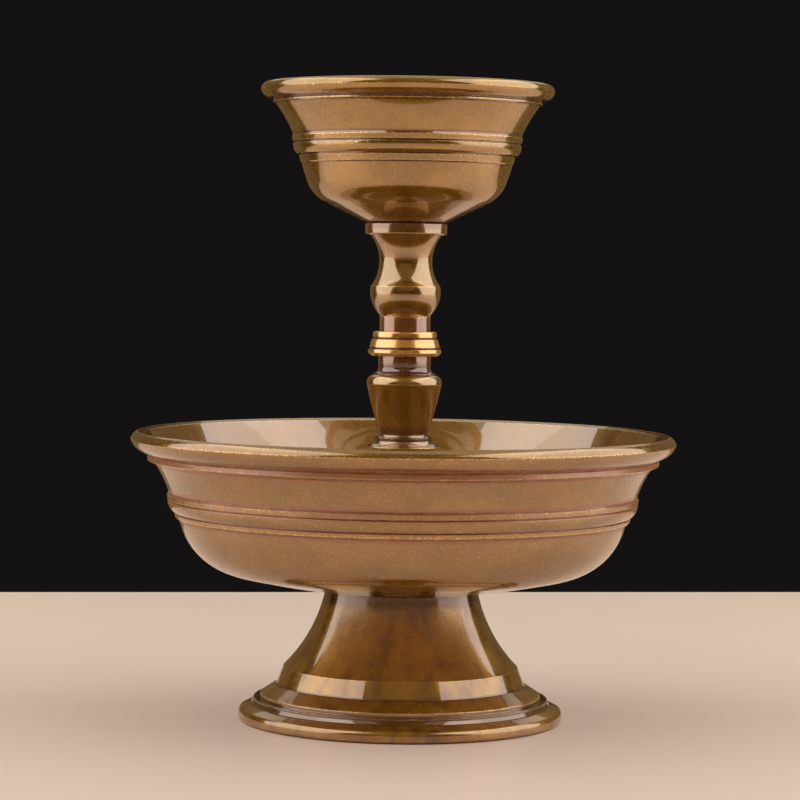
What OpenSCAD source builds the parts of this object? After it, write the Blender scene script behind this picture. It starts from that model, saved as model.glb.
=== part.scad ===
// Two-tier offering cup of turned brass: a wide footed bowl, and a tall goblet that stands loose in it.
// Every piece is a lathe turning on the Z axis. The goblet's stem is a stack of turnings that a tie rod
// clamps between the cup and the goblet's foot. A screw from below holds the bowl on its pedestal.
// Sizes are millimetres, +Z is up, and the origin is the middle of the pedestal's resting ring.

/* [Heights of the stack] */
// Pedestal, from the table to the bowl's seat
pedestal_h = 35.7; // [30:0.1:48]
// Bowl, from its seat to the top of its lip
bowl_h = 43.4; // [41:0.1:52]
// Goblet foot, from the bowl's floor to the stem
goblet_foot_h = 35.7; // [30:0.1:56]
// Vase of the stem, with its plinth
vase_h = 20.4; // [16:0.2:30]
// Core of the stem, the length that shows between vase and baluster
core_h = 16; // [14:0.2:26]
// Baluster of the stem, with its collar
baluster_h = 25.4; // [23:0.2:36]
// Cup, from its seat on the collar to the top of its lip
cup_h = 38.1; // [36:0.1:46]

/* [Bowl] */
// Diameter over the lip
bowl_rim_d = 150; // [146:0.5:164]
// Wall thickness
bowl_wall = 2.2; // [1.6:0.1:3.4]
// Thickness of the floor where the goblet stands
bowl_floor_t = 3.4; // [2.8:0.1:5]
// Diameter of the flat floor that the goblet stands on
bowl_floor_d = 54; // [51:0.5:62]
// Diameter of the body under the waist band
bowl_body_d = 123; // [116:0.2:124.6]
// Lean of the body's wall, in degrees
bowl_taper = 12; // [6:0.5:16]
// Radius of the turn from the wall into the underside
bowl_turn_r = 19; // [10:0.5:19]
// Slope of the underside, in degrees
bowl_under_slope = 9.6; // [7:0.1:12]

/* [Bowl lip] */
// Drop from the top of the lip to its edge
bowl_lip_drop = 2.2; // [1.6:0.1:3.2]
// Width from the edge in to the top of the lip
bowl_lip_w = 2; // [1.4:0.1:3]
// Roundness of the lip's top, off a straight slope
bowl_lip_round = 0.4; // [0.2:0.1:0.6]
// Roundness of the lip's underside, off a straight slope
bowl_lip_under = 0.8; // [0.3:0.1:0.9]
// How far the ridge under the lip lies in from the edge
bowl_ridge_in = 4.65; // [4:0.05:5.5]
// Drop from the top of the lip to the ridge
bowl_ridge_drop = 6.7; // [6.5:0.1:8]
// Height of the ridge
bowl_ridge_h = 1.2; // [0.6:0.1:1.6]
// How far the ridge stands out from the wall
bowl_ridge_step = 2; // [1:0.1:2.4]

/* [Bowl waist band] */
// How far the upper ring stands out over the top of the body
bowl_band_out = 3.4; // [2.8:0.1:4.6]
// Height of the band's upper edge above the seat
bowl_band_z = 26.1; // [25:0.1:27]
// Height of the upper ring
bowl_ring_h = 1.3; // [0.8:0.1:1.6]
// How far the upper ring draws in from top to bottom
bowl_ring_draw = 0.1; // [0.05:0.05:0.2]
// Height of the slope on top of the upper ring
bowl_slope_h = 0.6; // [0.4:0.1:1.2]
// How far that slope stands out from the wall above it
bowl_slope_out = 0.45; // [0.2:0.05:0.6]
// Height of the bead
bowl_bead_h = 3.1; // [2.5:0.1:4]
// How far the bead draws in from top to bottom
bowl_bead_in = 1.6; // [1:0.1:2]
// Bulge of the bead
bowl_bead_bulge = 0.45; // [0.1:0.05:0.6]
// How far the lower ring lies in from the bead
bowl_low_ring_in = 0.2; // [0.1:0.05:0.4]
// Height of the lower ring
bowl_low_ring_h = 1.2; // [0.6:0.1:1.6]
// How far the lower ring draws in from top to bottom
bowl_low_ring_taper = 0.3; // [0.1:0.05:0.5]
// Height of the slope under the lower ring
bowl_low_ring_under = 0.5; // [0.3:0.1:1.2]

/* [Cup] */
// Diameter over the lip
cup_rim_d = 80.5; // [79:0.5:92]
// Wall thickness
cup_wall = 2.3; // [1.4:0.1:2.6]
// Thickness of the floor
cup_floor_t = 3.9; // [3.4:0.1:4.9]
// Diameter of the body under the waist band
cup_body_d = 57.8; // [54:0.2:58.2]
// Lean of the body's wall, in degrees
cup_taper = 17; // [10:0.5:20]
// Radius of the turn from the wall into the underside
cup_turn_r = 10; // [6:0.5:12]
// Slope of the underside, in degrees
cup_under_slope = 25; // [20:0.5:28]

/* [Cup lip] */
// Drop from the top of the lip to its edge
cup_lip_drop = 1.9; // [1.2:0.1:2.4]
// Width from the edge in to the top of the lip
cup_lip_w = 1.1; // [0.8:0.1:1.6]
// Roundness of the lip's top, off a straight slope
cup_lip_round = 0.35; // [0.1:0.05:0.6]
// Roundness of the lip's underside, off a straight slope
cup_lip_under = 0.7; // [0.2:0.05:0.75]
// How far the ridge under the lip lies in from the edge
cup_ridge_in = 3.3; // [2.6:0.1:3.8]
// Drop from the top of the lip to the ridge
cup_ridge_drop = 5; // [4.8:0.05:6]
// Height of the ridge
cup_ridge_h = 0.4; // [0.3:0.1:0.8]
// How far the ridge stands out from the wall
cup_ridge_step = 0.8; // [0.3:0.1:1]

/* [Cup waist band] */
// How far the upper ring stands out over the top of the body
cup_band_out = 2.8; // [2.5:0.1:3.8]
// Height of the band's upper edge above the seat
cup_band_z = 23.5; // [22.3:0.2:24.7]
// Height of the upper ring
cup_ring_h = 1.4; // [1:0.1:2]
// How far the upper ring draws in from top to bottom
cup_ring_draw = 0.3; // [0.1:0.05:0.4]
// Height of the slope on top of the upper ring
cup_slope_h = 0.7; // [0.4:0.1:1.2]
// How far that slope stands out from the wall above it
cup_slope_out = 0.3; // [0.2:0.05:0.6]
// Height of the bead
cup_bead_h = 3; // [2:0.1:3.4]
// How far the bead draws in from top to bottom
cup_bead_in = 1; // [0.7:0.05:1.3]
// Bulge of the bead
cup_bead_bulge = 0.4; // [0.1:0.05:0.5]
// How far the lower ring lies in from the bead
cup_low_ring_in = 0.6; // [0.2:0.05:0.8]
// Height of the lower ring
cup_low_ring_h = 1.9; // [1.4:0.1:2.4]
// How far the lower ring draws in from top to bottom
cup_low_ring_taper = 0.5; // [0.1:0.05:0.6]
// Height of the slope under the lower ring
cup_low_ring_under = 0.3; // [0.1:0.1:0.6]

/* [Pedestal] */
// Diameter over the base flange
base_d = 89.6; // [80:0.2:110]
// Diameter of the neck under the bowl
neck_d = 42; // [36:0.2:50]
// How far the bell curves in from a straight cone
bell_sag = 1.8; // [0.5:0.1:3]
// Wall thickness of the bell
pedestal_wall = 2.8; // [2:0.1:4]
// Thickness of the web that the screw clamps
web_t = 2.6; // [2:0.1:5]

/* [Foot mouldings, at the pedestal's size] */
// Height of the base flange's edge
flange_h = 2.9; // [2:0.1:3.6]
// Rounding of the flange's upper edge
flange_round = 1.6; // [0.6:0.1:2]
// Rounding of the flange's lower edge
flange_low_round = 0.9; // [0.3:0.1:1.2]
// Width of the flange's top, in to the cove
flange_w = 3.6; // [2.4:0.1:4]
// Height of the flange's top at the cove
flange_top_z = 4.3; // [4:0.1:4.8]
// How far the thin bead lies in from the flange's edge
bead_in = 4.4; // [4.2:0.1:5]
// Height of the thin bead's underside
bead_z = 5.3; // [5:0.1:5.8]
// Height of the thin bead
bead_h = 0.6; // [0.5:0.1:0.8]
// How far the thin bead stands out from the cove
bead_out = 0.3; // [0.1:0.05:0.4]
// Height of the thin bead's bevels
bead_bevel = 0.2; // [0.1:0.05:0.2]
// How far the riser lies in from the flange's edge
riser_in = 6.1; // [5.6:0.1:7.5]
// Height of the ledge at the riser
ledge_z = 7; // [6.8:0.1:8]
// How far the ledge's back lies in from the flange's edge
ledge_in = 10.5; // [8.5:0.1:11.4]
// Height of the ledge at its back
ledge_top_z = 9.8; // [8.5:0.1:11]
// How far the band's top lies in from the flange's edge
band_in = 12.4; // [11.5:0.1:14]
// Height of the band's top
band_z = 14.5; // [12:0.1:17]
// Width of the resting ring
rest_w = 2.6; // [1.5:0.1:4]

/* [Goblet foot] */
// Diameter over the flange that stands in the bowl
goblet_base_d = 48.4; // [44:0.2:50]
// Diameter of the neck under the stem
goblet_neck_d = 17.6; // [16.6:0.2:22]
// How far the bell curves in from a straight cone
goblet_bell_sag = 2.6; // [0.5:0.1:3]
// Wall thickness of the bell
goblet_wall = 2.4; // [1.6:0.1:3]
// Thickness of the web that the nut clamps
goblet_web_t = 6; // [4:0.2:10]
// Size of its mouldings against the pedestal's
goblet_moulding = 0.55; // [0.45:0.05:0.6]

/* [Stem] */
// Diameter of the collar under the cup
collar_d = 22.5; // [21:0.1:26]
// Height of the collar
collar_h = 3.2; // [2.5:0.1:4.6]
// Rounding under the collar
collar_round = 0.7; // [0.2:0.1:1]
// How far the cup's seat lies in from the collar's edge
cup_seat_in = 0.85; // [0.4:0.05:1.4]
// Diameter of the baluster under the collar
trumpet_d = 19.6; // [18:0.1:20.4]
// How far the baluster's waist curves in
waist_sag = 2.4; // [1.5:0.1:2.6]
// Diameter over the bulb
bulb_d = 19.4; // [18:0.1:24]
// Height of the bulb
bulb_h = 6.2; // [5:0.1:9]
// Bulge of the bulb's side
bulb_bulge = 0.6; // [0.2:0.05:0.8]
// Height of the bulb's brow, up to its top edge
bulb_edge_h = 2; // [0.6:0.1:2.6]
// How far that brow draws in
bulb_edge_in = 0.15; // [0.05:0.05:0.4]
// Diameter of the bulb where it meets the core
bulb_low_d = 13.8; // [13:0.1:16]
// Diameter of the core above its shoulder
core_d = 14; // [13:0.1:14.2]
// Diameter of the core below its shoulder
core_low_d = 14.4; // [14.3:0.1:16]
// Height of the shoulder that carries the ring
shoulder_z = 5.1; // [3.5:0.1:6]
// Diameter of the core's flange on the vase
core_flange_d = 17; // [16.6:0.1:18]
// Height of that flange's edge
core_flange_h = 0.25; // [0.2:0.05:0.5]
// Height of the cove above that flange
core_cove_h = 2.3; // [1.6:0.1:3]
// How far that cove curves in
core_cove = 0.5; // [0.2:0.05:0.6]
// Diameter over the ring
ring_d = 20.3; // [19.4:0.1:25]
// Height of the ring's lowest tier
ring_low_h = 1.9; // [1.4:0.1:2.4]
// Height of the ring's middle tier
ring_mid_h = 2.4; // [1.8:0.1:3]
// Height of the ring's top tier
ring_top_h = 1.7; // [1.2:0.1:2]
// Height of the slope under the ring
ring_under_h = 0.8; // [0.5:0.1:1]
// How far that slope draws in
ring_under_in = 0.7; // [0.4:0.1:1]
// Rounding of the ring's edges
ring_round = 0.5; // [0.2:0.1:0.6]
// How far the ring's lowest tier draws in
ring_low_draw = 0.15; // [0.05:0.05:0.4]
// How far the ring's middle tier draws in
ring_mid_draw = 0.75; // [0.1:0.05:0.9]
// How far the ring's top tier draws in
ring_top_draw = 0.1; // [0.05:0.05:0.4]
// How far a tier lies in from the one below it
ring_step = 0.2; // [0.1:0.05:0.4]
// Diameter over the vase's shoulder
vase_d = 21; // [20:0.1:26]
// Rounding of the vase's shoulder
vase_round = 2.4; // [1:0.1:2.6]
// Diameter of the vase on its plinth
vase_low_d = 13.3; // [12.8:0.1:15]
// Diameter of the plinth's upper edge
plinth_top_d = 16.1; // [15.4:0.1:17.5]
// Diameter of the plinth's lower edge
plinth_d = 20.4; // [18.4:0.1:26]
// Height of the plinth
plinth_h = 3.8; // [3.4:0.1:5]
// Height of the plinth's lower edge
plinth_edge_h = 0.6; // [0.4:0.1:0.9]
// Height of the plinth's step
plinth_step_z = 2.1; // [1.7:0.1:2.5]
// Height of the plinth's upper edge
plinth_top_z = 3; // [2.7:0.1:3.3]
// How far the plinth's coves curve in
plinth_cove = 0.3; // [0.1:0.05:0.4]

/* [Fine edges] */
// Width of the grooves between rings
groove_w = 0.35; // [0.2:0.05:0.5]
// Depth of the grooves between rings
groove_d = 0.45; // [0.2:0.05:0.6]
// How far the walls between waist band and lip curve in
flare_sag = 0.3; // [0.1:0.05:0.5]
// Width from the top of a lip in to its inner edge
lip_inner_w = 1.8; // [1:0.1:2.2]
// Drop from the top of a lip to its inner edge
lip_inner_drop = 0.5; // [0.3:0.1:1]
// Height of the hollow between a ridge and the lip above it
notch_h = 0.45; // [0.2:0.05:0.55]
// Depth of that hollow
notch_d = 0.25; // [0.1:0.05:0.4]
// How far out from its ridge a lip's underside starts
lip_root_out = 0.1; // [0.05:0.05:0.3]
// How far above its ridge a lip's underside starts
lip_root_h = 0.65; // [0.6:0.05:0.8]
// Rise of a ridge's underside for each millimetre that the ridge stands out
ridge_rise = 0.4; // [0.3:0.02:0.8]
// How far a bead lies in from the ring above it
bead_set = 0.1; // [0.05:0.05:0.2]

/* [Fasteners and fits] */
// Diameter of the tie rod through the stem
rod_d = 6; // [5:0.5:6]
// Diameter of the screw that holds the bowl
screw_d = 6; // [5:0.5:8]
// Radial clearance of spigots, bores and threads
fit_gap = 0.05; // [0.02:0.01:0.1]
// Clearance at the blind end of a spigot or thread
end_gap = 0.3; // [0.1:0.05:0.6]
// Height of the stem's spigots
spigot_h = 3; // [2:0.1:3.6]
// Height of the tapped spigots under cup and bowl
boss_h = 5; // [4:0.1:6]
// Diameter of the spigot under the bowl
bowl_spigot_d = 18; // [14:0.2:22]
// Diameter of the spigot under the cup
cup_spigot_d = 12.4; // [10:0.2:13]
// Diameter of the spigot on the goblet's foot
foot_spigot_d = 10.4; // [9:0.2:11]
// Diameter of the spigots at both ends of the core
core_spigot_d = 9.8; // [8.6:0.2:10.4]
// Depth of the tapped holes past the seats
tap_past_seat = 1.6; // [1:0.1:1.8]
// Thickness of the washers
washer_t = 1.2; // [0.8:0.1:1.6]
// Height of the nut on the tie rod
rod_nut_h = 5; // [4:0.1:5.5]
// Length of the tie rod below the nut
rod_end = 1.5; // [0.8:0.1:2]
// Bevel at the tie rod's ends
rod_bevel = 0.5; // [0.2:0.1:0.8]
// Height of the screw's head
screw_head_h = 4; // [3:0.1:5]
// Room round the washer in the goblet's foot
pocket_gap = 0.6; // [0.3:0.1:1]

/* [Hidden] */
$fn = 96;
// Largest turn, in degrees, between two points of an arc in an outline
arc_step = 9;

// Levels of the stack
seat_z = pedestal_h;
floor_z = seat_z + bowl_floor_t;
vase_z = floor_z + goblet_foot_h;
core_z = vase_z + vase_h;
baluster_z = core_z + core_h;
cup_z = baluster_z + baluster_h;
screw_web_z = seat_z - boss_h - web_t;
nut_web_z = vase_z - goblet_web_t;

// Holes that the tie rod and the screw go through
rod_hole_r = rod_d / 2 + fit_gap;
screw_hole_r = screw_d / 2 + fit_gap;
// How far a cut runs past the face that it opens
past = 1;

// Hexagon hardware, by its usual shares of the thread's diameter
hex_share = 5 / 3;
washer_share = 2;

function unit(v) = v / norm(v);

// Where the line through a along u meets the line through b along v
function meet(a, u, b, v) =
    a + u * ((b - a).x * v.y - (b - a).y * v.x) / (u.x * v.y - u.y * v.x);

// Points of an arc round a centre, from one end to the other the short way
function arc(centre, from, to, first, last) =
    let (start = atan2(from.y - centre.y, from.x - centre.x),
         swing = atan2(to.y - centre.y, to.x - centre.x) - start,
         turn = swing - 360 * round(swing / 360),
         steps = max(2, ceil(abs(turn) / arc_step)),
         radius = norm(from - centre))
    [for (i = [first:steps - last])
        let (angle = start + turn * i / steps) centre + radius * [cos(angle), sin(angle)]];

// Arc between a and b, without its ends, that stands off the straight line by sag to the right of the way
function bow(a, b, sag) =
    let (way = unit(b - a), half = norm(b - a) / 2, radius = (half * half + sag * sag) / (2 * sag),
         centre = (a + b) / 2 + [way.y, -way.x] * (sag - radius))
    arc(centre, a, b, 1, 1);

// Arc that rounds the corner p between a and b, of the given radius or as much of it as has room
function corner(a, p, b, radius, room_a, room_b) =
    let (u = unit(a - p), v = unit(b - p), half = acos(u * v) / 2,
         cut = min(radius / tan(half), room_a, room_b),
         centre = p + unit(u + v) * cut / cos(half))
    arc(centre, p + u * cut, p + v * cut, 0, 0);

// Outline of a turning from [radius, height] corners; a third number rounds its corner
function outline(path) =
    let (n = len(path), at = [for (p = path) [p.x, p.y]],
         share = [for (p = path) len(p) == 3 ? 0.49 : 0.99])
    [for (i = [0:n - 1])
        let (before = (i + n - 1) % n, after = (i + 1) % n)
        each len(path[i]) == 2 ? [at[i]] : corner(at[before], at[i], at[after], path[i].z,
                                                  norm(at[before] - at[i]) * share[before],
                                                  norm(at[after] - at[i]) * share[after])];

module turning(path) {
    rotate_extrude() polygon(outline(path));
}

module bore(r, z, h) {
    translate([0, 0, z]) cylinder(r = r, h = h);
}

module hexagon(across_flats, h) {
    cylinder(d = across_flats / cos(30), h = h, $fn = 6);
}

// Lip of a vessel, from the foot of its ridge up over the edge to the crest
function lip(rim_r, h, drop, w, top_round, under_round, ridge_in, ridge_drop, ridge_h, ridge_step) =
    let (ridge = [rim_r - ridge_in, h - ridge_drop], under = ridge + [lip_root_out, lip_root_h],
         edge = [rim_r, h - drop], crest = [rim_r - w, h])
    concat([ridge - [ridge_step, ridge_h + ridge_rise * ridge_step],
            ridge - [0, ridge_h],
            ridge,
            ridge + [-notch_d, notch_h],
            under],
           bow(under, edge, under_round),
           [edge],
           bow(edge, crest, top_round),
           [crest]);

// Waist band of a vessel, from the body up over lower ring, bead and upper ring to the foot of the flare
function waist_band(body_r, band_out, z, ring_h, ring_draw, slope_h, slope_out,
                    bead_h, bead_in, bulge, low_in, low_h, low_taper, under) =
    let (band_r = body_r + band_out,
         ring_low = [band_r - ring_draw, z - ring_h],
         bead_top = ring_low - [bead_set, groove_w],
         bead_low = bead_top - [bead_in, bead_h],
         low_top = bead_low - [low_in, groove_w],
         low_end = low_top - [low_taper, low_h])
    concat([[body_r, low_end.y - under],
            low_end,
            low_top,
            low_top - [groove_d, 0],
            bead_low - [low_in + groove_d, 0],
            bead_low],
           bow(bead_low, bead_top, bulge),
           [bead_top,
            bead_top - [groove_d, 0],
            bead_top + [-groove_d, groove_w],
            ring_low,
            [band_r, z],
            [band_r - slope_out, z + slope_h]]);

// Section of a vessel with a spigot below its seat: up the outside, over the lip and down the inside
function vessel(seat_r, spigot_r, slope, taper, turn_r, band, brim, wall, floor_r, floor_t) =
    let (u = [cos(slope), sin(slope)], v = [sin(taper), cos(taper)],
         body = band[0], flare_low = band[len(band) - 1], flare_high = brim[0], crest = brim[len(brim) - 1],
         f = unit(flare_high - flare_low),
         inner_waist = flare_low - [wall / f.y, 0],
         inner_flare = flare_high - [wall / f.y, 0],
         inner_body = body + wall * [-v.y, v.x],
         turn = meet([seat_r, 0], u, body, v),
         inner_turn = meet([floor_r, floor_t], u, inner_body, v),
         spigot = boss_h - end_gap)
    concat([[0, -spigot], [spigot_r, -spigot], [spigot_r, 0], [seat_r, 0], [turn.x, turn.y, turn_r]],
           band,
           bow(flare_low, flare_high, -flare_sag),
           brim,
           [crest - [lip_inner_w, lip_inner_drop], inner_flare],
           bow(inner_flare, inner_waist, flare_sag),
           [inner_waist,
            inner_body,
            [inner_turn.x, inner_turn.y, turn_r - wall],
            [floor_r, floor_t],
            [0, floor_t]]);

// Hollow foot: mouldings scaled by size, a bell up to the neck, and a web of solid metal at the top
function foot(base_r, neck_r, h, sag, size, wall, pocket_r, web) =
    let (band = [base_r - band_in * size, band_z * size],
         neck = [neck_r, h],
         pocket = [pocket_r, h - web],
         inner = [base_r - ledge_in * size - wall, ledge_top_z * size])
    concat([[base_r, 0, flange_low_round * size],
            [base_r, flange_h * size, flange_round * size],
            [base_r - flange_w * size, flange_top_z * size],
            [base_r - bead_in * size, bead_z * size],
            [base_r - (bead_in - bead_out) * size, (bead_z + bead_bevel) * size],
            [base_r - (bead_in - bead_out) * size, (bead_z + bead_h - bead_bevel) * size],
            [base_r - bead_in * size, (bead_z + bead_h) * size],
            [base_r - riser_in * size, (bead_z + bead_h) * size],
            [base_r - riser_in * size, ledge_z * size],
            [base_r - ledge_in * size, ledge_top_z * size],
            band],
           bow(band, neck, -sag),
           [neck, [0, h], [0, h - web], pocket],
           bow(pocket, inner, sag),
           [inner,
            [base_r - (flange_low_round + rest_w) * size, 0]]);

module pedestal() {
    color("#8a6433") difference() {
        turning(foot(base_d / 2, neck_d / 2, pedestal_h, bell_sag, 1, pedestal_wall,
                     neck_d / 2 - pedestal_wall, boss_h + web_t));
        bore(bowl_spigot_d / 2 + fit_gap, seat_z - boss_h, boss_h + past);
        bore(screw_hole_r, screw_web_z - past, web_t + 2 * past);
    }
}

module bowl() {
    band = waist_band(bowl_body_d / 2, bowl_band_out, bowl_band_z, bowl_ring_h, bowl_ring_draw,
                      bowl_slope_h, bowl_slope_out, bowl_bead_h, bowl_bead_in, bowl_bead_bulge,
                      bowl_low_ring_in, bowl_low_ring_h, bowl_low_ring_taper, bowl_low_ring_under);
    brim = lip(bowl_rim_d / 2, bowl_h, bowl_lip_drop, bowl_lip_w, bowl_lip_round, bowl_lip_under,
               bowl_ridge_in, bowl_ridge_drop, bowl_ridge_h, bowl_ridge_step);
    color("#a07c41") translate([0, 0, seat_z]) difference() {
        turning(vessel(neck_d / 2, bowl_spigot_d / 2, bowl_under_slope, bowl_taper, bowl_turn_r, band, brim,
                       bowl_wall, bowl_floor_d / 2, bowl_floor_t));
        bore(screw_hole_r, -boss_h, boss_h + tap_past_seat);
    }
}

module bowl_washer() {
    color("#8d8a80") translate([0, 0, screw_web_z - washer_t]) difference() {
        cylinder(d = screw_d * washer_share, h = washer_t);
        bore(screw_hole_r, -past, washer_t + 2 * past);
    }
}

module bowl_screw() {
    head_z = screw_web_z - washer_t;
    top = seat_z + tap_past_seat - end_gap;
    color("#8d8a80") {
        translate([0, 0, head_z - screw_head_h]) hexagon(screw_d * hex_share, screw_head_h);
        translate([0, 0, head_z - past]) cylinder(d = screw_d, h = top - head_z + past);
    }
}

module goblet_foot() {
    color("#96733b") translate([0, 0, floor_z]) difference() {
        union() {
            turning(foot(goblet_base_d / 2, goblet_neck_d / 2, goblet_foot_h, goblet_bell_sag,
                         goblet_moulding, goblet_wall, rod_d * washer_share / 2 + pocket_gap, goblet_web_t));
            translate([0, 0, goblet_foot_h - past])
                cylinder(d = foot_spigot_d, h = spigot_h - end_gap + past);
        }
        bore(rod_hole_r, goblet_foot_h - goblet_web_t - past, goblet_web_t + spigot_h + 2 * past);
    }
}

module stem_vase() {
    lower = [plinth_d / 2, plinth_edge_h];
    step = [plinth_top_d / 2, plinth_step_z];
    upper = [plinth_top_d / 2, plinth_top_z];
    waist = [vase_low_d / 2, plinth_h];
    lean = atan((vase_d / 2 - waist.x) / (vase_h - plinth_h));
    // The sharp corner of the shoulder, which its rounding cuts back to vase_d
    shoulder_r = vase_d / 2 + vase_round * (tan(lean) + 1 / cos(lean) - 1);
    color("#a8854a") translate([0, 0, vase_z]) difference() {
        turning(concat([[0, 0], [plinth_d / 2, 0], lower], bow(lower, step, -plinth_cove),
                       [step, upper], bow(upper, waist, -plinth_cove),
                       [waist, [shoulder_r, vase_h, vase_round], [0, vase_h]]));
        bore(rod_hole_r, -past, vase_h + 2 * past);
        bore(foot_spigot_d / 2 + fit_gap, -past, spigot_h + past);
        bore(core_spigot_d / 2 + fit_gap, vase_h - spigot_h, spigot_h + past);
    }
}

module stem_core() {
    flange = [core_flange_d / 2, core_flange_h];
    neck = [core_low_d / 2, core_cove_h];
    spigot_r = core_spigot_d / 2;
    spigot = spigot_h - end_gap;
    color("#7d4a2c") translate([0, 0, core_z]) difference() {
        turning(concat([[0, -spigot], [spigot_r, -spigot], [spigot_r, 0], [core_flange_d / 2, 0], flange],
                       bow(flange, neck, -core_cove),
                       [neck, [core_low_d / 2, shoulder_z], [core_d / 2, shoulder_z], [core_d / 2, core_h],
                        [spigot_r, core_h], [spigot_r, core_h + spigot], [0, core_h + spigot]]));
        bore(rod_hole_r, -spigot_h, core_h + 2 * spigot_h);
    }
}

// One tier of the ring, with the groove below it
function tier(r, z, h, draw) =
    [[r - groove_d, z], [r, z], [r - draw, z + h], [r - draw - groove_d, z + h]];

module stem_ring() {
    inner_r = core_d / 2 + fit_gap;
    low_r = ring_d / 2 - ring_low_draw;
    mid_r = low_r - ring_step;
    top_r = mid_r - ring_mid_draw - ring_step;
    mid_z = ring_low_h + groove_w;
    top_z = mid_z + ring_mid_h + groove_w;
    crown_z = top_z + ring_top_h;
    color("#d6a44a") translate([0, 0, core_z + shoulder_z])
        turning(concat([[inner_r, 0], [ring_d / 2 - ring_under_in, 0], [ring_d / 2, ring_under_h, ring_round],
                        [low_r, ring_low_h], [low_r - groove_d, ring_low_h]],
                       tier(mid_r, mid_z, ring_mid_h, ring_mid_draw),
                       [[top_r - groove_d, top_z], [top_r, top_z],
                        [top_r - ring_top_draw, crown_z, ring_round], [inner_r, crown_z]]));
}

module stem_baluster() {
    foot_edge = [bulb_low_d / 2, 0];
    bulb = [bulb_d / 2, bulb_h];
    flare = bulb + [-bulb_edge_in, bulb_edge_h];
    trumpet = [trumpet_d / 2, baluster_h - collar_h];
    collar_r = collar_d / 2;
    color("#a8854a") translate([0, 0, baluster_z]) difference() {
        turning(concat([[0, 0], foot_edge], bow(foot_edge, bulb, bulb_bulge),
                       [bulb, flare], bow(flare, trumpet, -waist_sag),
                       [trumpet, [collar_r, trumpet.y, collar_round],
                        [collar_r, baluster_h], [0, baluster_h]]));
        bore(rod_hole_r, -past, baluster_h + 2 * past);
        bore(core_spigot_d / 2 + fit_gap, -past, spigot_h + past);
        bore(cup_spigot_d / 2 + fit_gap, baluster_h - boss_h, boss_h + past);
    }
}

module cup() {
    seat_r = collar_d / 2 - cup_seat_in;
    floor_r = seat_r + (cup_floor_t - cup_wall / cos(cup_under_slope)) / tan(cup_under_slope);
    band = waist_band(cup_body_d / 2, cup_band_out, cup_band_z, cup_ring_h, cup_ring_draw,
                      cup_slope_h, cup_slope_out, cup_bead_h, cup_bead_in, cup_bead_bulge,
                      cup_low_ring_in, cup_low_ring_h, cup_low_ring_taper, cup_low_ring_under);
    brim = lip(cup_rim_d / 2, cup_h, cup_lip_drop, cup_lip_w, cup_lip_round, cup_lip_under,
               cup_ridge_in, cup_ridge_drop, cup_ridge_h, cup_ridge_step);
    color("#a8854a") translate([0, 0, cup_z]) difference() {
        turning(vessel(seat_r, cup_spigot_d / 2, cup_under_slope, cup_taper, cup_turn_r, band, brim,
                       cup_wall, floor_r, cup_floor_t));
        bore(rod_hole_r, -boss_h, boss_h + tap_past_seat);
    }
}

module tie_rod() {
    low = nut_web_z - washer_t - rod_nut_h - rod_end;
    top = cup_z + tap_past_seat - end_gap;
    rod_r = rod_d / 2;
    color("#8d8a80") turning([[0, low], [rod_r - rod_bevel, low], [rod_r, low + rod_bevel],
                              [rod_r, top - rod_bevel], [rod_r - rod_bevel, top], [0, top]]);
}

module rod_washer() {
    color("#8d8a80") translate([0, 0, nut_web_z - washer_t]) difference() {
        cylinder(d = rod_d * washer_share, h = washer_t);
        bore(rod_hole_r, -past, washer_t + 2 * past);
    }
}

module rod_nut() {
    color("#8d8a80") translate([0, 0, nut_web_z - washer_t - rod_nut_h]) difference() {
        hexagon(rod_d * hex_share, rod_nut_h);
        bore(rod_hole_r, -past, rod_nut_h + 2 * past);
    }
}

pedestal();
bowl();
bowl_screw();
bowl_washer();
goblet_foot();
stem_vase();
stem_core();
stem_ring();
stem_baluster();
cup();
tie_rod();
rod_washer();
rod_nut();
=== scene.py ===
"""Looks of a two-tier offering cup: turned brass under a clear coat, on a pale table."""
import math

import bpy
import numpy as np
from mathutils import Matrix, Vector


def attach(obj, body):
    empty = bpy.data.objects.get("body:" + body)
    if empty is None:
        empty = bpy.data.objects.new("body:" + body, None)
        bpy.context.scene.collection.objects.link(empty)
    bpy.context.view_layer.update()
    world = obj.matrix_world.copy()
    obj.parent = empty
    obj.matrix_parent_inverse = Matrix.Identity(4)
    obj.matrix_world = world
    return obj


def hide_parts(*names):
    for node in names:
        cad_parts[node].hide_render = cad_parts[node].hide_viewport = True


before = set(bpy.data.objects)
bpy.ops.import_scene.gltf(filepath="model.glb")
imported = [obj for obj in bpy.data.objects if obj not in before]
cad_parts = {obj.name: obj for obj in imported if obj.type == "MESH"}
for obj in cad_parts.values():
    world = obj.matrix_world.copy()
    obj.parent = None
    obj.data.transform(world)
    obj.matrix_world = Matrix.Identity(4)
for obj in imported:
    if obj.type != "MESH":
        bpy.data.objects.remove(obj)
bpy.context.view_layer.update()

MM = 0.001

# Turned pieces: body, record slot, sides round the axis
TURNINGS = {
    "pedestal": ("stand", "amber_brass", 256),
    "bowl": ("stand", "antique_brass", 288),
    "bowl_washer": ("stand", "plain_steel", 96),
    "goblet_foot": ("goblet", "amber_brass", 192),
    "stem_vase": ("goblet", "antique_brass", 160),
    "stem_core": ("goblet", "red_brass", 160),
    "stem_ring": ("goblet", "bright_brass", 160),
    "stem_baluster": ("goblet", "antique_brass", 160),
    "cup": ("goblet", "antique_brass", 256),
    "tie_rod": ("goblet", "plain_steel", 96),
    "rod_washer": ("goblet", "plain_steel", 96),
}

# Hexagon pieces, whose edges get a small bevel
HEXAGONS = ["bowl_screw", "rod_nut"]
BEVEL_WIDTH = 0.2 * MM
BEVEL_STEPS = 2

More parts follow.
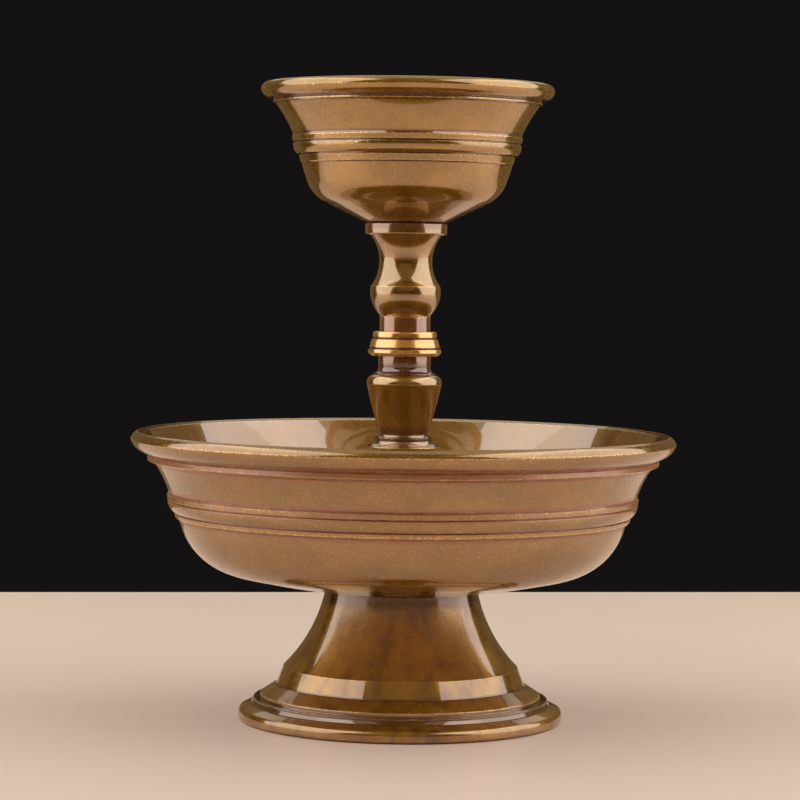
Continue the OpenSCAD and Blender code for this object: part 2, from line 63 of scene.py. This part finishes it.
# Corners where the brown stain lies broad: radius and height of the corner, and the stain's reach
BROAD_STAINS = {
    "pedestal": [(21 * MM, 35.7 * MM, 3.6 * MM)],
    "bowl": [(70.1 * MM, 72.85 * MM, 1.9 * MM)],
    "stem_vase": [(6.65 * MM, 78.6 * MM, 2.4 * MM), (8.05 * MM, 76.9 * MM, 1.1 * MM)],
    "stem_core": [(8.5 * MM, 95.45 * MM, 4 * MM)],
    "stem_baluster": [(11.25 * MM, 136.6 * MM, 1.7 * MM)],
}

# How far the tone of a piece goes from its slot's towards brown: on the bowl this is painted shade, a
# darker copy of the cup's brass that stands in for the shade on it; on the baluster a browner tone of the
# metal
BROWN_AND_SHADE = {"bowl": 0.35, "stem_baluster": 0.16}

# Share of the clear coat on the outside of a piece, and on the inside of every vessel
GLAZE = {"stem_vase": 1.0, "stem_baluster": 1.0, "stem_core": 0.8}
COMMON_GLAZE = 0.74
INSIDE_GLAZE = 0.88

# Outlines of the turnings: a turn is a sharp corner above CORNER_TURN, and none below STRAIGHT_TURN
CORNER_TURN = math.radians(13)
STRAIGHT_TURN = math.radians(0.4)
# A run whose two ends differ by more than this is curved, in radians
CURVE_TURN = 0.003
CURVE_STEPS = 3
# Small round on each sharp corner, and the share of the shorter run beside it that it may take
EDGE_ROUND = 0.22 * MM
ROUND_ROOM = 0.4
ROUND_STEPS = 4
# Extra rings at these distances from a sharp corner, up to a share of the run
SUPPORTS = [0.15 * MM, 0.5 * MM, 1.2 * MM, 2.6 * MM]
SUPPORT_ROOM = 0.45
# Points of a solid closer than RING_GAP lie on one ring; closer than POINT_GAP they are one point
RING_GAP = 4e-6
RING_GRID = RING_GAP / 4
POINT_GAP = 1e-7

# Marks on the turnings: reach of the wear on edges and of the stain in hollows, both full at FULL_MARK_TURN
EDGE_WEAR = 0.3 * MM
HOLLOW_REACH = 0.6 * MM
WIDE_HOLLOWS = {"bowl": 0.95 * MM, "pedestal": 0.75 * MM}
FULL_MARK_TURN = math.radians(60)
# Distance, in reaches, that stands for far from any mark
FAR_MARK = 6.0
# How soon an outline that runs downwards, on the inner wall, counts as inside
INSIDE_SLOPE = 3.0

# Brass finishes, with colours as screen values from 0 to 255 and the shares of their marks
BRASSES = {
    "antique_brass": dict(dark=(150, 108, 24), light=(172, 126, 34), stain=(116, 70, 48)),
    "amber_brass": dict(dark=(150, 104, 26), light=(180, 129, 36), stain=(88, 46, 24),
                        patches=0.3, streaks=0.52, flecks_and_glints=0.0, metal=0.66),
    "red_brass": dict(dark=(142, 84, 44), light=(162, 102, 54), stain=(78, 42, 28),
                      patches=0.25, flecks_and_glints=0.2, metal=0.55),
    "bright_brass": dict(dark=(232, 172, 86), light=(244, 192, 106), stain=(140, 76, 40),
                         patches=0.05, flecks_and_glints=0.3),
}
# What all brass finishes share: brown tone with painted shade on some pieces, insides, worn metal, and
# painted glints of highlight
BROWN_AND_SHADE_TONE = (122, 80, 34)
INSIDE_TONE = (146, 102, 46)
INSIDE_SHARE = 0.6
INSIDE_METAL = 0.6
WORN_TONE = (222, 178, 94)
# Painted glints: bright specks of highlight painted into the tone
PAINTED_GLINT_TONE = (255, 214, 128)
PAINTED_GLINT_GAIN = 2.4
# Stain in the hollows, which is pale and dull on the pieces with the brown tone and painted shade, with
# slanted streaks and dark pits
STAIN_SHARE = 0.74
FADED_STAIN = (172, 116, 88)
FADE_GAIN = 3.0
# Darker brown in the deepest part of each hollow: partly patina, partly painted shade in the crease
DEEP_STAIN_AND_SHADE = (108, 62, 42)
DEEP_STAIN_AND_SHADE_SHARE = 0.5
DULL_GAIN = 2.4
DULL_ROUGHNESS = 0.6
STREAK_SLANT = (0, 0.6, 0)
STREAK_SCALE = (1, 1, 0.22)
PIT_TONE = (40, 26, 14)
# Polish of the metal, and the clear coat over it
POLISH_ROUGHNESS = (0.21, 0.29)
COAT_ROUGHNESS = 0.03
COAT_IOR = 2.2

# Steel of the hidden fasteners
STEEL_TONES = [(120, 118, 110), (168, 166, 158)]
STEEL_ROUGHNESS = (0.32, 0.5)

# Camera, fitted to the photograph's rings, with its place in metres
CAMERA_DISTANCE = 0.805
CAMERA_HEIGHT = 0.12655
CAMERA_ASIDE = -0.0011
CAMERA_PITCH = math.radians(2.738)
CAMERA_ROLL = math.radians(0.75)
CLIP_START = 0.01
FOCAL_PX = 2924
PICTURE_PX = 800
SENSOR_MM = 36

# Table top, in metres, with a back edge that runs a little aslant
TABLE_BACK = 0.306
TABLE_FRONT = -1.6
TABLE_HALF = 1.6
TABLE_TURN = math.radians(6.6)
TABLE_DROP = 0.0002
TABLE_TONES = [(238, 215, 198), (244, 221, 204)]
TABLE_ROUGHNESS = 0.42
TABLE_SPECULAR = 0.35

# Lamps: azimuth from the camera's side and lean in degrees; distance, height and size in metres
WHITE_LIGHT = (1.0, 0.98, 0.97)
CREAM_LIGHT = (1.0, 0.92, 0.8)
AMBER_LIGHT = (1.0, 0.64, 0.28)
ROOM_TONE = (20, 18, 18)
LAMPS = {
    "softbox_left": dict(azimuth=-79, distance=0.665, height=0.36, lean=43,
                         width=1.0, length=1.0, radiance=1.66, color=WHITE_LIGHT),
    "softbox_right": dict(azimuth=84, distance=0.665, height=0.36, lean=43,
                          width=1.05, length=1.0, radiance=1.68, color=WHITE_LIGHT),
    "ceiling": dict(azimuth=180, distance=0.9, height=0.95, lean=90,
                    width=1.6, length=2.6, radiance=0.58, color=CREAM_LIGHT),
    "room_front": dict(azimuth=0, distance=1.8, height=1.35, lean=35,
                       width=2.4, length=2.3, radiance=0.24, color=AMBER_LIGHT),
    "room_left": dict(azimuth=-150, distance=1.1, height=0.25, lean=0,
                      width=0.8, length=0.9, radiance=0.14, color=AMBER_LIGHT),
    "room_right": dict(azimuth=150, distance=1.1, height=0.25, lean=0,
                       width=0.8, length=0.9, radiance=0.14, color=AMBER_LIGHT),
}


def merged_rings(points):
    """Rings of a turned mesh: the ring number of each vertex, and each ring's (radius, height)."""
    flat = np.column_stack([np.hypot(points[:, 0], points[:, 1]), points[:, 2]])
    keys, ring_of = np.unique(np.round(flat / RING_GRID).astype(int), axis=0, return_inverse=True)
    ring_of = ring_of.ravel()
    centres = keys * RING_GRID
    first = np.arange(len(centres))
    for i in range(len(centres)):
        near = np.nonzero(np.abs(centres - centres[i]).max(1) < RING_GAP)[0]
        first[i] = first[near[0]]
    return first[ring_of], centres


def read_outline(mesh):
    """(radius, height) corners of a turned mesh in order, and whether they close on themselves."""
    points = np.array([v.co for v in mesh.vertices], float)
    ring_of, centres = merged_rings(points)
    links = {}
    for polygon in mesh.polygons:
        rings = sorted({int(ring_of[v]) for v in polygon.vertices})
        for a, b in zip(rings, rings[1:]):
            links.setdefault(a, set()).add(b)
            links.setdefault(b, set()).add(a)
    ends = sorted(r for r in links if len(links[r]) == 1)
    start = ends[0] if ends else min(links)
    order, last = [start], None
    while True:
        onward = [r for r in sorted(links[order[-1]]) if r != last and r not in order]
        if not onward:
            break
        last = order[-1]
        order.append(onward[0])
    outline = without_straights([Vector(centres[r]) for r in order], not ends)
    # A solid turning starts and ends on the axis
    if ends:
        outline = [Vector((0, outline[0].y))] + outline + [Vector((0, outline[-1].y))]
    # The metal lies on the left of the outline
    area = sum(a.x * b.y - a.y * b.x for a, b in zip(outline, outline[1:] + outline[:1]))
    if area < 0:
        outline.reverse()
    return outline, not ends


def turn_at(before, here, after):
    """Signed turn of an outline at a corner, positive where the metal stands out."""
    a, b = here - before, after - here
    return math.atan2(a.x * b.y - a.y * b.x, a.dot(b))


def without_straights(outline, closed):
    """Drops the points of an outline that lie on a straight run."""
    n = len(outline)
    kept = []
    for i, here in enumerate(outline):
        is_end = not closed and i in (0, n - 1)
        before = kept[-1] if kept else outline[i - 1]
        if is_end or abs(turn_at(before, here, outline[(i + 1) % n])) > STRAIGHT_TURN:
            kept.append(here)
    return kept


def along(a, b, ways, share):
    """Point and direction on the cubic from a to b that leaves and arrives along the two ways."""
    reach = (b - a).length
    t, u = share, 1 - share
    p = a * (u * u * (1 + 2 * t)) + b * (t * t * (1 + 2 * u))
    p = p + ways[0] * (reach * t * u * u) - ways[1] * (reach * t * t * u)
    d = (b - a) * (6 * t * u) + ways[0] * (reach * u * (1 - 3 * t)) + ways[1] * (reach * t * (3 * t - 2))
    return p, d.normalized()


def corner_ways(outline, closed):
    """For each point: its turn if it is sharp, the ways in and out, and how far its round cuts back."""
    n = len(outline)
    turns, ways_in, ways_out, cuts = [], [], [], []
    for i, here in enumerate(outline):
        before, after = outline[i - 1], outline[(i + 1) % n]
        is_end = not closed and i in (0, n - 1)
        turn = 0 if is_end else turn_at(before, here, after)
        sharp = abs(turn) > CORNER_TURN
        way_in, way_out = (here - before).normalized(), (after - here).normalized()
        if is_end:
            way_in = way_out = way_out if i == 0 else way_in
        elif not sharp:
            way_in = way_out = (way_in + way_out).normalized()
        room = min((here - before).length, (after - here).length) * ROUND_ROOM
        turns.append(turn if sharp else 0)
        ways_in.append(way_in)
        ways_out.append(way_out)
        cuts.append(min(EDGE_ROUND * math.tan(abs(turn) / 2), room) if sharp else 0)
    return turns, ways_in, ways_out, cuts


def arc_ends(outline, closed, turns, ways_in, ways_out):
    """Bends the way at a sharp corner to the arc that starts or ends there, as its next point has it."""
    n = len(outline)
    for i in range(n if closed else n - 1):
        j = (i + 1) % n
        chord = (outline[j] - outline[i]).normalized()
        if turns[i] and not turns[j]:
            ways_out[i] = chord * (2 * chord.dot(ways_in[j])) - ways_in[j]
        elif turns[j] and not turns[i]:
            ways_in[j] = chord * (2 * chord.dot(ways_out[i])) - ways_out[i]


def shares_along(a, b, ways, sharp):
    """Where to put points between a and b: evenly on a curve, and closer together near a sharp end."""
    steps = CURVE_STEPS if ways[0].angle(ways[1]) > CURVE_TURN else 1
    reach = (b - a).length
    near = [d / reach for d in SUPPORTS if d < SUPPORT_ROOM * reach]
    shares = {k / steps for k in range(steps + 1)}
    if sharp[0]:
        shares |= set(near)
    if sharp[1]:
        shares |= {1 - s for s in near}
    return sorted(shares)


def round_points(start, corner, end):
    """Points and ways on the small round that takes a corner's place, without its two ends."""
    for step in range(1, ROUND_STEPS):
        t = step / ROUND_STEPS
        p = start * (1 - t) ** 2 + corner * (2 * t * (1 - t)) + end * t ** 2
        d = (corner - start) * (1 - t) + (end - corner) * t
        yield p, d.normalized()


def finer(outline, closed):
    """The outline with smooth runs between its corners and rounds on them: points, ways, corners."""
    n = len(outline)
    turns, ways_in, ways_out, cuts = corner_ways(outline, closed)
    arc_ends(outline, closed, turns, ways_in, ways_out)
    points, ways, corners = [], [], []
    for i in range(n if closed else n - 1):
        j = (i + 1) % n
        start = outline[i] + ways_out[i] * cuts[i]
        end = outline[j] - ways_in[j] * cuts[j]
        run_ways = ways_out[i], ways_in[j]
        shares = shares_along(start, end, run_ways, (turns[i], turns[j]))
        run = [along(start, end, run_ways, share) for share in shares]
        if turns[j]:
            corners.append((len(points) + len(run) + ROUND_STEPS // 2 - 1, turns[j]))
            run += round_points(end, outline[j], outline[j] + ways_out[j] * cuts[j])
        points += [point for point, _ in run]
        ways += [way for _, way in run]
    return points, ways, corners


def corner_marks(points, corners, hollow_reach, broad, closed):
    """Each point's distance from hollow corners and from proud edges, in reaches of their marks."""
    steps = [0.0] + [(b - a).length for a, b in zip(points, points[1:])]
    place = np.cumsum(steps)
    hollow, proud = np.full(len(points), FAR_MARK), np.full(len(points), FAR_MARK)
    reaches = [hollow_reach * min(1.0, -turn / FULL_MARK_TURN) if turn < 0 else 0 for _, turn in corners]
    for radius, height, reach in broad:
        gaps = [(points[index] - Vector((radius, height))).length for index, _ in corners]
        reaches[int(np.argmin(gaps))] = reach
    for (index, turn), reach in zip(corners, reaches):
        away = np.abs(place - place[index])
        if closed:
            away = np.minimum(away, place[-1] - away)
        if reach:
            hollow = np.minimum(hollow, away / reach)
        if turn > 0:
            wear = EDGE_WEAR * min(1.0, turn / FULL_MARK_TURN)
            proud = np.minimum(proud, away / wear)
    return hollow, proud


def without_doubles(points, ways, marks):
    """Drops points that lie on the one before them."""
    keep = [i for i in range(len(points)) if i == 0 or (points[i] - points[i - 1]).length > POINT_GAP]
    return [points[i] for i in keep], [ways[i] for i in keep], [m[keep] for m in marks]


def turned_faces(points, first, sides, closed):
    """Faces between the rings of a turning, given each ring's first vertex: triangles end on the axis."""
    faces = []
    rows = len(points)
    for i in range(rows if closed else rows - 1):
        j = (i + 1) % rows
        a, b = first[i], first[j]
        for k in range(sides):
            m = (k + 1) % sides
            if points[i].x < POINT_GAP:
                faces.append((a, b + m, b + k))
            elif points[j].x < POINT_GAP:
                faces.append((a + k, a + m, b))
            else:
                faces.append((a + k, a + m, b + m, b + k))
    return faces


def turned_mesh(node, outline, closed, sides):
    """A lathe turning as a mesh with true normals, and with the marks that its finish follows."""
    points, ways, corners = finer(outline, closed)
    hollow_reach = WIDE_HOLLOWS.get(node, HOLLOW_REACH)
    hollow, proud = corner_marks(points, corners, hollow_reach, BROAD_STAINS.get(node, []), closed)
    points, ways, (hollow, proud) = without_doubles(points, ways, [hollow, proud])
    inside = [min(1.0, max(0.0, -INSIDE_SLOPE * way.y)) for way in ways]
    angles = [2 * math.pi * k / sides for k in range(sides)]
    vertices, normals, marks, first = [], [], [], []
    for point, way, *ring_marks in zip(points, ways, hollow, proud, inside):
        first.append(len(vertices))
        on_axis = point.x < POINT_GAP
        for angle in angles[:1] if on_axis else angles:
            vertices.append((point.x * math.cos(angle), point.x * math.sin(angle), point.y))
            normals.append((way.y * math.cos(angle), way.y * math.sin(angle), -way.x))
            marks.append(ring_marks)
    mesh = bpy.data.meshes.new(node + "_turned")
    mesh.from_pydata(vertices, [], turned_faces(points, first, sides, closed))
    mesh.polygons.foreach_set("use_smooth", [True] * len(mesh.polygons))
    layers = dict(zip(("hollow", "proud", "inside"), zip(*marks)))
    layers["brown_and_shade"] = [BROWN_AND_SHADE.get(node, 0.0)] * len(vertices)
    layers["glaze"] = [GLAZE.get(node, COMMON_GLAZE)] * len(vertices)
    for label, values in layers.items():
        mesh.attributes.new(label, "FLOAT", "POINT").data.foreach_set("value", values)
    mesh.validate()
    mesh.normals_split_custom_set_from_vertices(normals)
    return mesh


class Shader:
    """A material's node tree, with short calls for the nodes that the finishes use."""

    def __init__(self, name):
        self.material = bpy.data.materials.new(name)
        self.material.use_nodes = True
        self.tree = self.material.node_tree
        self.surface = self.tree.nodes["Principled BSDF"]
        coords = self.add("ShaderNodeTexCoord").outputs["Object"]
        scaled = self.add("ShaderNodeVectorMath", {0: coords, "Scale": 1 / MM}, operation="SCALE")
        self.place = scaled.outputs[0]

    def add(self, kind, values=None, **settings):
        """A new node with its settings, and with values or links on its sockets."""
        node = self.tree.nodes.new(kind)
        for key, value in settings.items():
            setattr(node, key, value)
        for key, value in (values or {}).items():
            self.give(node.inputs[key], value)
        return node

    def give(self, socket, value):
        """Links the socket if the value is another node's output, and sets it otherwise."""
        if isinstance(value, bpy.types.NodeSocket):
            self.tree.links.new(value, socket)
        else:
            socket.default_value = value

    def set(self, **values):
        """Sets sockets of the surface, by their names in lower case."""
        for key, value in values.items():
            self.give(self.surface.inputs[key.replace("_", " ").title().replace("Ior", "IOR")], value)

    def noise(self, scale, detail=3.0, roughness=0.55, place=None):
        """Noise at a place, which is the point on the object in millimetres unless another is given."""
        vector = self.place if place is None else place
        values = {"Vector": vector, "Scale": scale, "Detail": detail, "Roughness": roughness}
        return self.add("ShaderNodeTexNoise", values).outputs["Fac"]

    def attribute(self, name):
        """One of the marks that the mesh carries."""
        return self.add("ShaderNodeAttribute", attribute_name=name).outputs["Fac"]

    def steps(self, value, start, end, first=0.0, last=1.0):
        """A soft step from first to last, while the value goes from start to end."""
        values = {"Value": value, "From Min": start, "From Max": end, "To Min": first, "To Max": last}
        return self.add("ShaderNodeMapRange", values, interpolation_type="SMOOTHSTEP").outputs["Result"]

    def math(self, operation, a, b, clamp=True):
        """Sum, product or the like of two values, kept between 0 and 1 if clamped."""
        return self.add("ShaderNodeMath", {0: a, 1: b}, operation=operation, use_clamp=clamp).outputs[0]

    def mix(self, share, a, b):
        """Colour a with a share of colour b."""
        values = {"Factor": share, 6: a, 7: b}
        return self.add("ShaderNodeMix", values, data_type="RGBA").outputs[2]

    def lathe_place(self):
        """Place across the marks of the lathe: radius and height, but little of the way round."""
        x, y, z = self.add("ShaderNodeSeparateXYZ", {0: self.place}).outputs
        flat = self.add("ShaderNodeCombineXYZ", {0: x, 1: y}).outputs[0]
        radius = self.add("ShaderNodeVectorMath", {0: flat}, operation="LENGTH").outputs["Value"]
        way_round = self.add("ShaderNodeMath", {0: y, 1: x}, operation="ARCTAN2").outputs[0]
        return self.add("ShaderNodeCombineXYZ", {0: radius, 1: z, 2: way_round}).outputs[0]

    def bump(self, height, strength, distance, under=None):
        """Fine relief by a height, on top of the relief under it if there is one."""
        values = {"Height": height, "Strength": strength, "Distance": distance}
        if under is not None:
            values["Normal"] = under
        return self.add("ShaderNodeBump", values).outputs["Normal"]


def linear(color):
    """A colour written as 0 to 255 screen values, as the shader's linear one."""
    values = [c / 255 for c in color]
    return (*[c / 12.92 if c <= 0.04045 else ((c + 0.055) / 1.055) ** 2.4 for c in values], 1.0)


def cast_tone(shader, dark, light):
    """Cloudy tone of the metal, browner on some pieces, as painted shade on the bowl, and on the inside of
    all.
    """
    clouds = shader.noise(scale=0.07, detail=4.0, roughness=0.6)
    tone = shader.mix(shader.steps(clouds, start=0.35, end=0.68), linear(dark), linear(light))
    # Brown tone of some pieces, which on the bowl is painted shade
    tone = shader.mix(shader.attribute("brown_and_shade"), tone, linear(BROWN_AND_SHADE_TONE))
    share = shader.math("MULTIPLY", shader.attribute("inside"), INSIDE_SHARE)
    return shader.mix(share, tone, linear(INSIDE_TONE))


def worn_tone(shader, tone, grain, flecks_and_glints):
    """The tone with golden specks in its grain, rare painted glints of highlight, and bright metal along
    its edges.
    """
    proud = shader.attribute("proud")
    outside = shader.math("SUBTRACT", 1.0, shader.attribute("inside"))
    edge = shader.steps(proud, start=1.6, end=0.4)
    speckled = shader.steps(grain, start=0.42, end=0.58, first=0.2, last=0.9)
    worn = shader.math("MULTIPLY", edge, speckled)
    golden = shader.math("MULTIPLY", outside, shader.steps(grain, start=0.52, end=0.78, last=flecks_and_glints))
    tone = shader.mix(shader.math("MAXIMUM", golden, worn), tone, linear(WORN_TONE))
    # Painted glints: rare bright specks of highlight painted into the tone, more of them near the edges
    near_edge = shader.steps(proud, start=FAR_MARK, end=1.0, last=0.11)
    rare = shader.math("ADD", shader.noise(scale=1.3, detail=2.0, roughness=0.6), near_edge, clamp=False)
    painted_glints = shader.steps(rare, start=0.73, end=0.8, last=PAINTED_GLINT_GAIN * flecks_and_glints)
    return shader.mix(shader.math("MULTIPLY", outside, painted_glints), tone, linear(PAINTED_GLINT_TONE))


def stained_tone(shader, tone, rim, stained, stain, patches, streaks):
    """The tone with brown in its hollows, darkest in their deepest part as patina with painted shade, in
    patches and in slanted streaks, and with a few dark pits.
    """
    blots = shader.steps(shader.noise(scale=0.11, roughness=0.5), start=0.48, end=0.78, last=patches)
    slant = {"Vector": shader.place, "Rotation": STREAK_SLANT, "Scale": STREAK_SCALE}
    slanted = shader.add("ShaderNodeMapping", slant).outputs[0]
    smears = shader.noise(scale=0.26, detail=2.0, roughness=0.5, place=slanted)
    smears = shader.steps(smears, start=0.46, end=0.7, last=streaks)
    brown = shader.math("MAXIMUM", stained, shader.math("MAXIMUM", blots, smears))
    fading = shader.math("MULTIPLY", shader.attribute("brown_and_shade"), FADE_GAIN)
    tone = shader.mix(brown, tone, shader.mix(fading, linear(stain), linear(FADED_STAIN)))
    # Deepest part of each hollow darker: partly patina, partly painted shade
    deep_stain_and_shade = shader.steps(rim, start=0.5, end=0.12, last=DEEP_STAIN_AND_SHADE_SHARE)
    tone = shader.mix(deep_stain_and_shade, tone, linear(DEEP_STAIN_AND_SHADE))
    pits = shader.steps(shader.noise(scale=1.1, detail=1.0), start=0.79, end=0.83)
    return shader.mix(pits, tone, linear(PIT_TONE))


def brass(name, dark, light, stain, patches=0.12, streaks=0.0, flecks_and_glints=0.27, metal=0.82):
    """Patinated brass under a clear coat: the patch, streak and fleck shares say how strong these marks
    are, and the fleck share also sets the painted glints.
    """
    shader = Shader(name)
    grain = shader.noise(scale=1.7, detail=0.5, roughness=0.5)
    uneven = shader.noise(scale=0.35)
    inside = shader.attribute("inside")
    ragged = shader.steps(uneven, start=0.25, end=0.75, last=0.4)
    rim = shader.math("ADD", shader.attribute("hollow"), ragged, clamp=False)
    stained = shader.steps(rim, start=1.5, end=0.8, last=STAIN_SHARE)
    tone = cast_tone(shader, dark, light)
    tone = worn_tone(shader, tone, grain, flecks_and_glints)
    tone = stained_tone(shader, tone, rim, stained, stain, patches, streaks)

    # The stain of a piece with the brown tone and painted shade is dull, with little of the coat left on it
    brown_and_shade_stain = shader.math("MULTIPLY", stained, shader.attribute("brown_and_shade"))
    dull = shader.math("MULTIPLY", brown_and_shade_stain, DULL_GAIN)
    clear = shader.math("SUBTRACT", 1.0, dull)
    bare_metal = shader.steps(inside, start=0.0, end=1.0, first=metal, last=INSIDE_METAL * metal)
    polish = shader.steps(uneven, 0.3, 0.7, *POLISH_ROUGHNESS)
    inside_glaze = shader.math("MULTIPLY", inside, INSIDE_GLAZE)
    glaze = shader.math("MAXIMUM", inside_glaze, shader.attribute("glaze"))
    waves = shader.bump(shader.noise(scale=0.09, detail=2.0), strength=0.1, distance=0.3 * MM)
    marks = shader.noise(scale=1.6, roughness=0.6, place=shader.lathe_place())
    shader.set(base_color=tone, metallic=shader.math("MULTIPLY", clear, bare_metal),
               roughness=shader.math("MAXIMUM", polish, shader.math("MULTIPLY", dull, DULL_ROUGHNESS)),
               normal=shader.bump(grain, strength=0.05, distance=0.05 * MM),
               coat_weight=shader.math("MULTIPLY", clear, glaze),
               coat_roughness=COAT_ROUGHNESS, coat_ior=COAT_IOR,
               coat_normal=shader.bump(marks, strength=0.05, distance=0.02 * MM, under=waves))
    return shader.material


def steel(name):
    """Dull zinc-plated steel."""
    shader = Shader(name)
    clouds = shader.noise(scale=0.6, detail=4.0)
    tone = shader.mix(clouds, *[linear(t) for t in STEEL_TONES])
    shader.set(base_color=tone, metallic=1.0, roughness=shader.steps(clouds, 0.3, 0.7, *STEEL_ROUGHNESS),
               normal=shader.bump(shader.noise(scale=5.0), strength=0.08, distance=0.05 * MM))
    return shader.material


def make_materials():
    """One material for each slot of the record."""
    materials = {name: brass(name, **finish) for name, finish in BRASSES.items()}
    materials["plain_steel"] = steel("plain_steel")
    return materials


def dress(materials):
    """Finished turnings in place of the plain ones, and finishes on the hexagon pieces."""
    for node, (body, slot, sides) in TURNINGS.items():
        outline, closed = read_outline(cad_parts[node].data)
        mesh = turned_mesh(node, outline, closed, sides)
        piece = bpy.data.objects.new(node + "_turned", mesh)
        bpy.context.scene.collection.objects.link(piece)
        piece.data.materials.append(materials[slot])
        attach(piece, body)
        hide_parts(node)
    for node in HEXAGONS:
        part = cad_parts[node]
        part.data.materials.clear()
        part.data.materials.append(materials["plain_steel"])
        bevel = part.modifiers.new("edges", "BEVEL")
        bevel.width = BEVEL_WIDTH
        bevel.segments = BEVEL_STEPS
        bevel.limit_method = "ANGLE"


def make_table():
    """Pale table top that ends behind the object."""
    shader = Shader("table")
    tone = shader.mix(shader.noise(scale=0.012), *[linear(t) for t in TABLE_TONES])
    shader.set(base_color=tone, roughness=TABLE_ROUGHNESS, specular_ior_level=TABLE_SPECULAR)
    mesh = bpy.data.meshes.new("table")
    front = [(-TABLE_HALF, TABLE_FRONT, 0), (TABLE_HALF, TABLE_FRONT, 0)]
    back = [(TABLE_HALF, TABLE_BACK, 0), (-TABLE_HALF, TABLE_BACK, 0)]
    mesh.from_pydata(front + back, [], [(0, 1, 2, 3)])
    table = bpy.data.objects.new("table", mesh)
    bpy.context.scene.collection.objects.link(table)
    mesh.materials.append(shader.material)
    table.location.z = -TABLE_DROP
    table.rotation_euler.z = TABLE_TURN


def softbox(name, azimuth, distance, height, lean, width, length, radiance, color):
    """Soft lamp that faces the axis of the object and leans over it."""
    light = bpy.data.lights.new(name, "AREA")
    light.shape = "RECTANGLE"
    light.size = width
    light.size_y = length
    light.energy = radiance * math.pi * width * length
    light.color = color
    lamp = bpy.data.objects.new(name, light)
    bpy.context.scene.collection.objects.link(lamp)
    turn, tilt = math.radians(azimuth), math.radians(lean)
    outward = Vector((math.sin(turn), -math.cos(turn), 0))
    lamp.location = outward * distance + Vector((0, 0, height))
    facing = -outward * math.cos(tilt) - Vector((0, 0, math.sin(tilt)))
    lamp.rotation_euler = facing.to_track_quat("-Z", "Y").to_euler()
    lamp.visible_camera = False


def make_lights():
    """The lamps, in a nearly dark room."""
    for name, values in LAMPS.items():
        softbox(name, **values)
    world = bpy.data.worlds.new("room")
    bpy.context.scene.world = world
    world.use_nodes = True
    back = world.node_tree.nodes["Background"]
    back.inputs["Color"].default_value = linear(ROOM_TONE)
    back.inputs["Strength"].default_value = 1.0


def make_camera():
    """Camera at the photograph's place and angle."""
    data = bpy.data.cameras.new("camera")
    data.sensor_width = SENSOR_MM
    data.lens = FOCAL_PX * SENSOR_MM / PICTURE_PX
    data.clip_start = CLIP_START
    camera = bpy.data.objects.new("camera", data)
    bpy.context.scene.collection.objects.link(camera)
    turn = Matrix.Rotation(math.pi / 2 - CAMERA_PITCH, 4, "X") @ Matrix.Rotation(CAMERA_ROLL, 4, "Z")
    camera.matrix_world = Matrix.Translation((CAMERA_ASIDE, -CAMERA_DISTANCE, CAMERA_HEIGHT)) @ turn
    bpy.context.scene.camera = camera


dress(make_materials())
make_table()
make_lights()
make_camera()
bpy.context.scene.view_settings.view_transform = "Standard"
